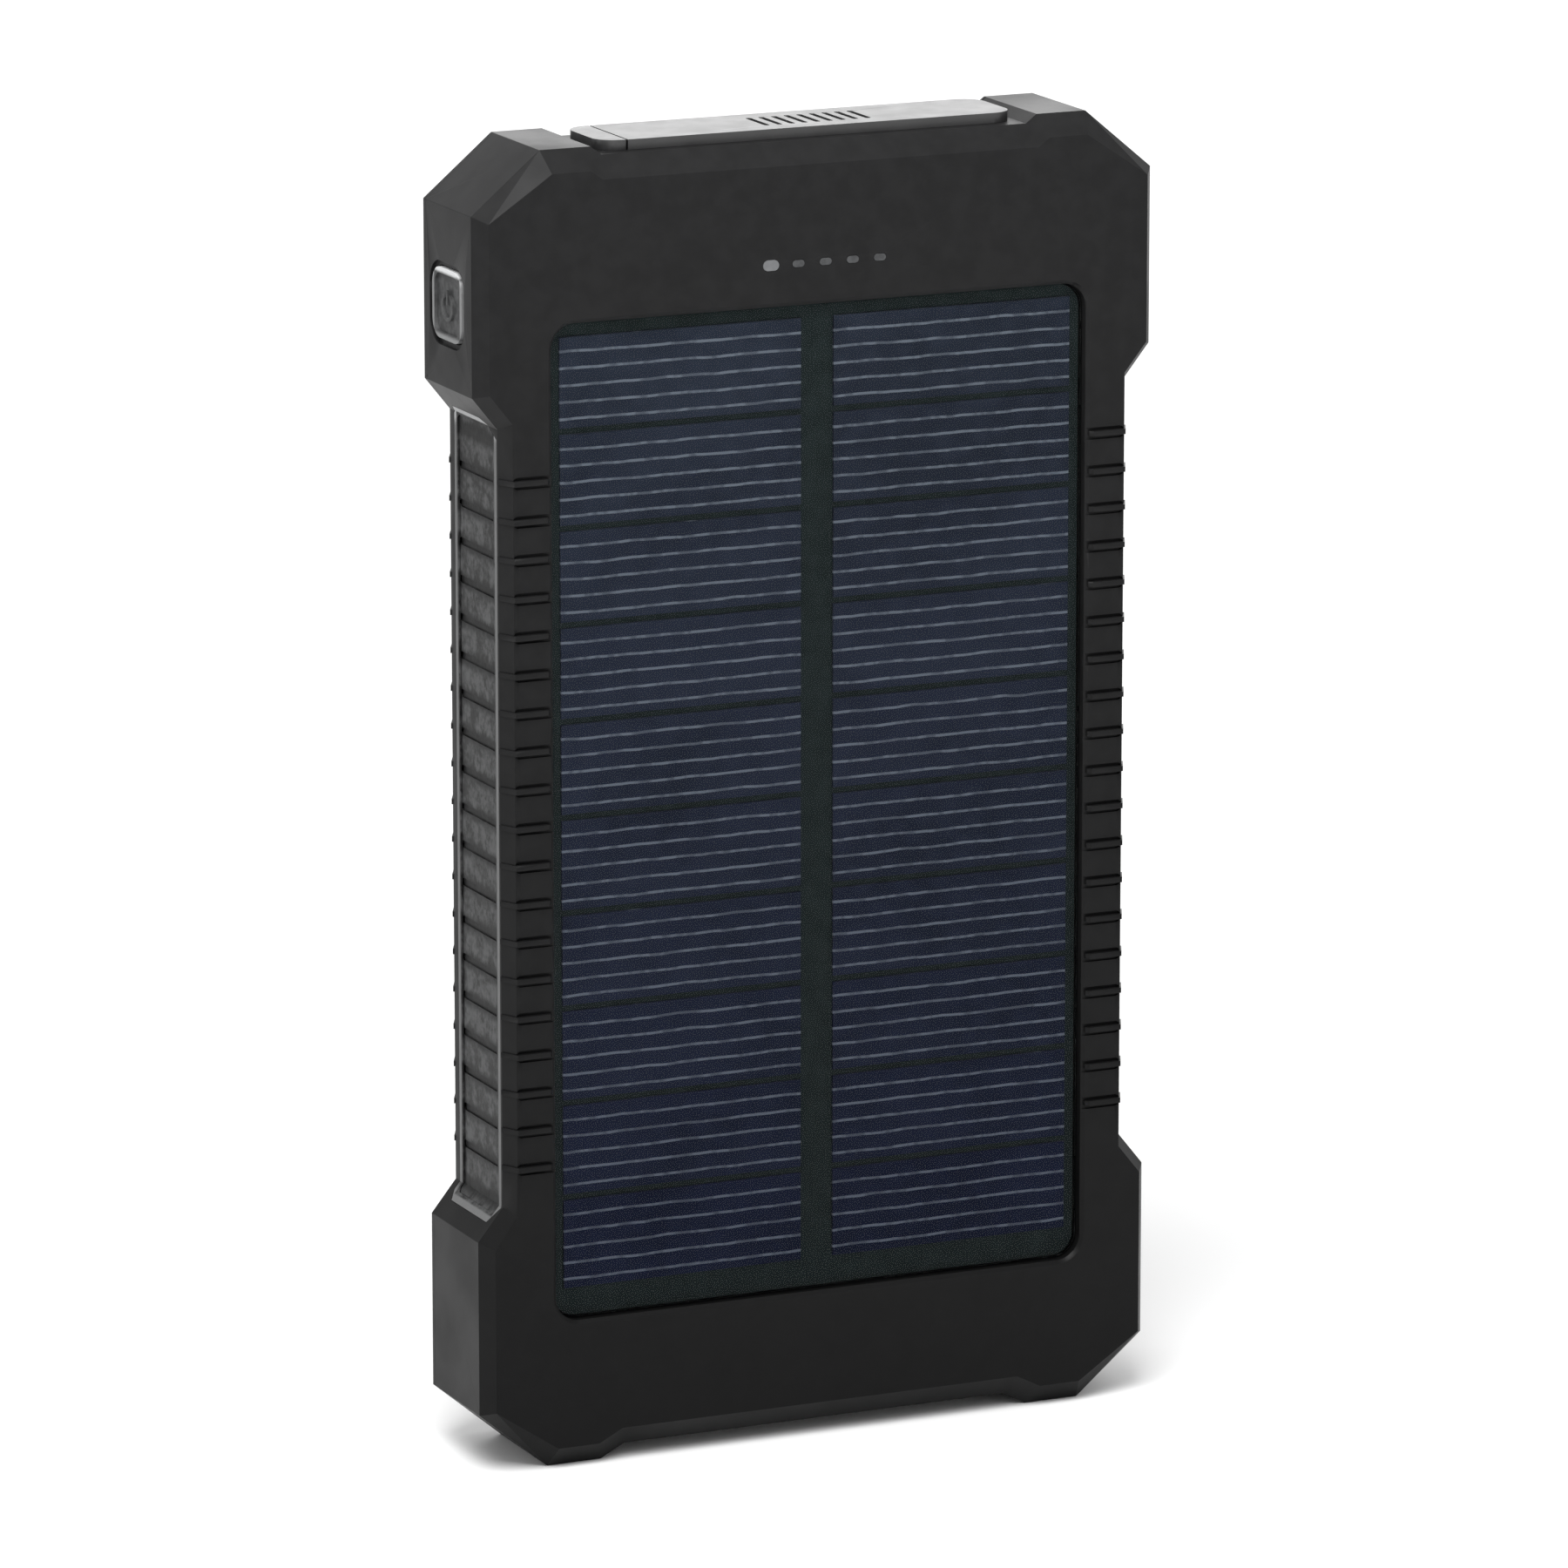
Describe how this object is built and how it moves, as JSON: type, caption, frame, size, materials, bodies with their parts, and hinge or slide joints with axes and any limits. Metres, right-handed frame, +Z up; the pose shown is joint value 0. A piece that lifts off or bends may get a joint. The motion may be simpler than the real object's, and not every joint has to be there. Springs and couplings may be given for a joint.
{
  "type": "solar phone charger",
  "caption": "Slim upright power bank with bumper corners, a recessed two-column solar panel, a side power button and a swinging cover over its top sockets.",
  "frame": {"origin": "middle of the base, on the surface that the two feet stand on", "axes": "+Z up along the height, +X across the width towards the side without the button, -Y out of the solar face"},
  "size_m": [0.075, 0.0166, 0.1362],
  "materials": {
    "shell_black": "fine matte texture, black",
    "seal_rubber": "smooth",
    "trim_grey": "satin dark grey",
    "cover_silicone": "satin black",
    "panel_board": "dark laminate board",
    "panel_cover": "clear glossy laminate",
    "panel_tape": "adhesive tape",
    "cell_silicon": "dark navy silicon with pale finger lines",
    "light_pipe": "frosted clear",
    "led_package": "moulded package",
    "circuit_board": "solder mask",
    "socket_steel": "tinned steel",
    "socket_white": "white insulator",
    "socket_black": "black insulator",
    "contact_gold": "gold plated",
    "switch_body": "moulded",
    "switch_plunger": "moulded",
    "ferrite": "sintered ferrite",
    "chip_epoxy": "moulded epoxy",
    "capacitor_ceramic": "unglazed ceramic",
    "battery_foil": "satin aluminium foil",
    "pad_foam": "white foam tape",
    "lead_red": "insulated wire",
    "lead_black": "insulated wire",
    "screw_black": "black oxide steel",
    "screw_zinc": "zinc plated steel"
  },
  "bodies": {
    "case": {"front_shell": "shell_black", "rear_shell": "shell_black", "shell_seal": "seal_rubber", "side_trim_left": "trim_grey", "side_trim_right": "trim_grey", "solar_board": "panel_board", "solar_cover": "panel_cover", "solar_tape": "panel_tape", "indicator_light_pipe": "light_pipe", "indicator_leds": "led_package", "solar_cell_left_1": "cell_silicon", "solar_cell_left_2": "cell_silicon", "solar_cell_left_3": "cell_silicon", "solar_cell_left_4": "cell_silicon", "solar_cell_left_5": "cell_silicon", "solar_cell_left_6": "cell_silicon", "solar_cell_left_7": "cell_silicon", "solar_cell_left_8": "cell_silicon", "solar_cell_left_9": "cell_silicon", "solar_cell_left_10": "cell_silicon", "solar_cell_right_1": "cell_silicon", "solar_cell_right_2": "cell_silicon", "solar_cell_right_3": "cell_silicon", "solar_cell_right_4": "cell_silicon", "solar_cell_right_5": "cell_silicon", "solar_cell_right_6": "cell_silicon", "solar_cell_right_7": "cell_silicon", "solar_cell_right_8": "cell_silicon", "solar_cell_right_9": "cell_silicon", "solar_cell_right_10": "cell_silicon", "main_circuit_board": "circuit_board", "usb_a_shell_left": "socket_steel", "usb_a_shell_right": "socket_steel", "usb_a_tongue_left": "socket_white", "usb_a_tongue_right": "socket_white", "usb_a_contacts_left": "contact_gold", "usb_a_contacts_right": "contact_gold", "micro_usb_shell": "socket_steel", "micro_usb_tongue": "socket_black", "power_switch": "switch_body", "boost_inductor": "ferrite", "controller_chips": "chip_epoxy", "smoothing_capacitors": "capacitor_ceramic", "battery_pouch": "battery_foil", "battery_protection_board": "circuit_board", "battery_pads": "pad_foam", "battery_lead_red": "lead_red", "battery_lead_black": "lead_black", "solar_lead_red": "lead_red", "solar_lead_black": "lead_black", "case_screws": "screw_black", "board_screws": "screw_zinc", "cover_anchor": "cover_silicone"},
    "button": {"power_button": "trim_grey", "switch_plunger": "switch_plunger"},
    "cover": {"port_cover": "cover_silicone"}
  },
  "joints": [
    {"name": "button_press", "type": "slide", "parent": "case", "child": "button", "axis": [1, 0, 0], "range_m": [0, 0.0005], "stiffness_N_per_m": 2500},
    {"name": "cover_swing", "type": "hinge", "parent": "case", "child": "cover", "pos_m": [-0.02, 0, 0.13617], "axis": [0, -1, 0], "range_deg": [0, 130]}
  ]
}
